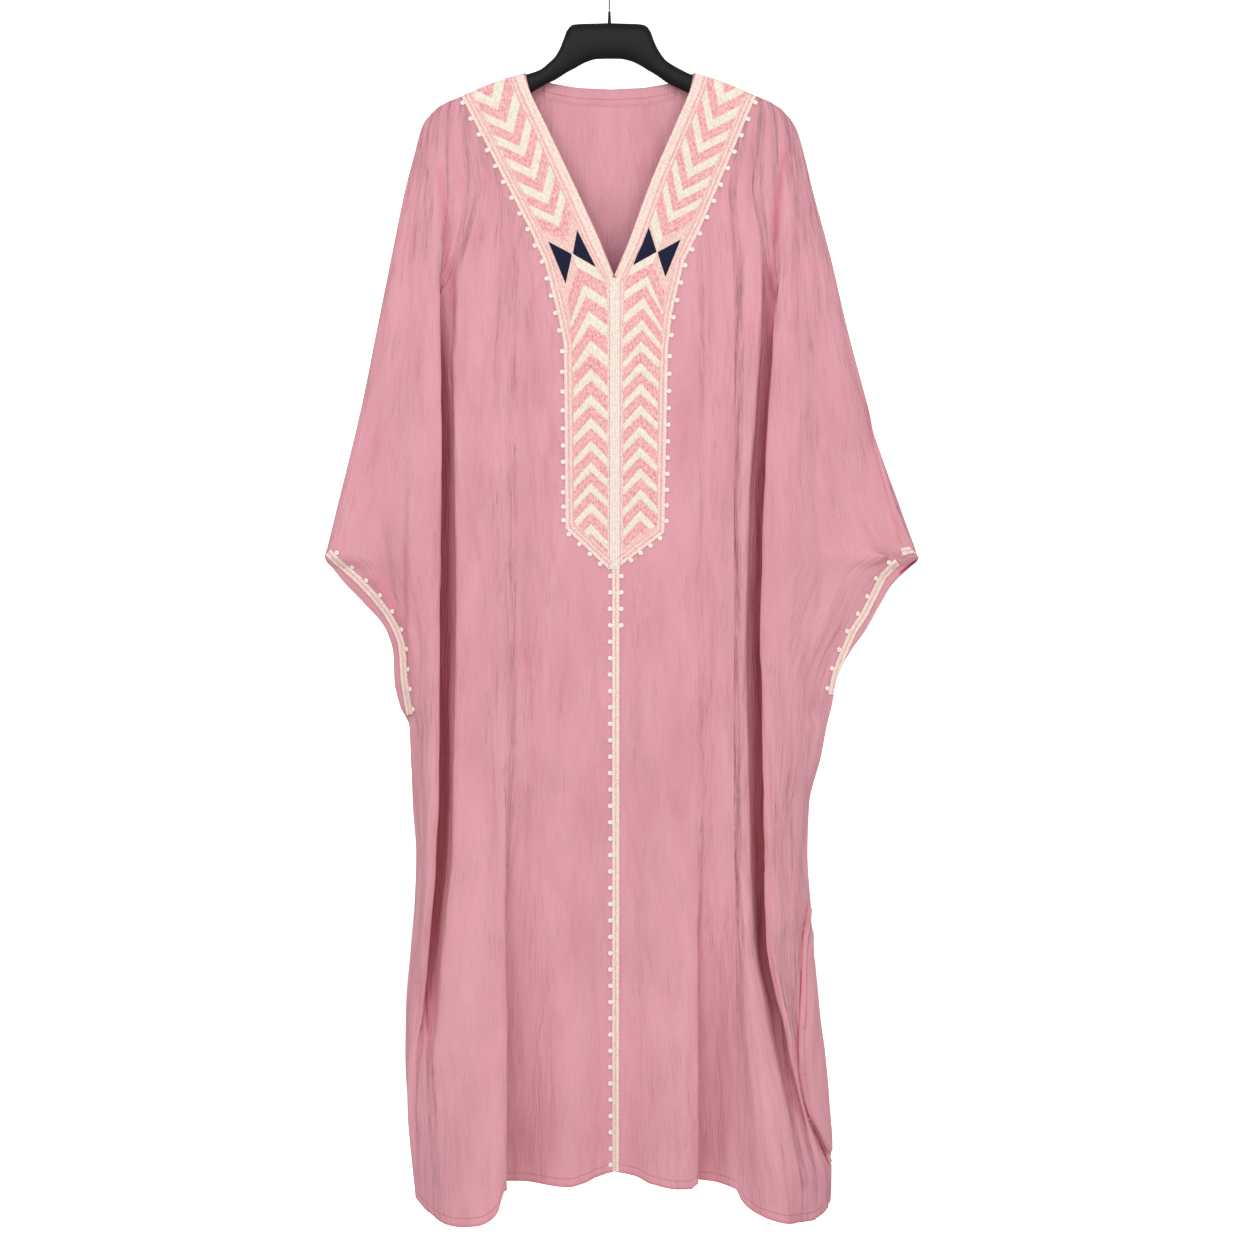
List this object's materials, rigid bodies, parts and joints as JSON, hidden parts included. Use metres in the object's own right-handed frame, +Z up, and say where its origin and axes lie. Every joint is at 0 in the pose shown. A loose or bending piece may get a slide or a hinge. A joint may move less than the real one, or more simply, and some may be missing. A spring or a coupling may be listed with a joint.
{
  "type": "abaya on a hanger",
  "caption": "Batwing abaya of crinkled crepe with embroidered V yoke, centre braid and cuff trims, hung on a moulded hanger with a wire hook.",
  "frame": {"origin": "top of the inside of the hook, where a rail holds it", "axes": "+Z up, +X to the right of a viewer who faces the front, the front faces -Y"},
  "size_m": [0.714, 0.1589, 1.4883],
  "materials": {
    "crepe": "crinkled matt crepe, dusty pink",
    "embroidery": "satin stitch in cream, pink and navy",
    "braid": "woven braid, cream and pink",
    "plastic": "satin moulded black",
    "steel": "bright drawn wire"
  },
  "bodies": {
    "root": {"front": "crepe", "back": "crepe", "neck_band": "crepe", "yoke_left": "embroidery", "yoke_right": "embroidery", "placket": "embroidery", "centre_braid": "braid", "cuff_trim_front_left": "braid", "cuff_trim_front_right": "braid", "cuff_trim_back_left": "braid", "cuff_trim_back_right": "braid", "hanger": "plastic", "hook_collar": "plastic", "hook": "steel"}
  },
  "joints": []
}
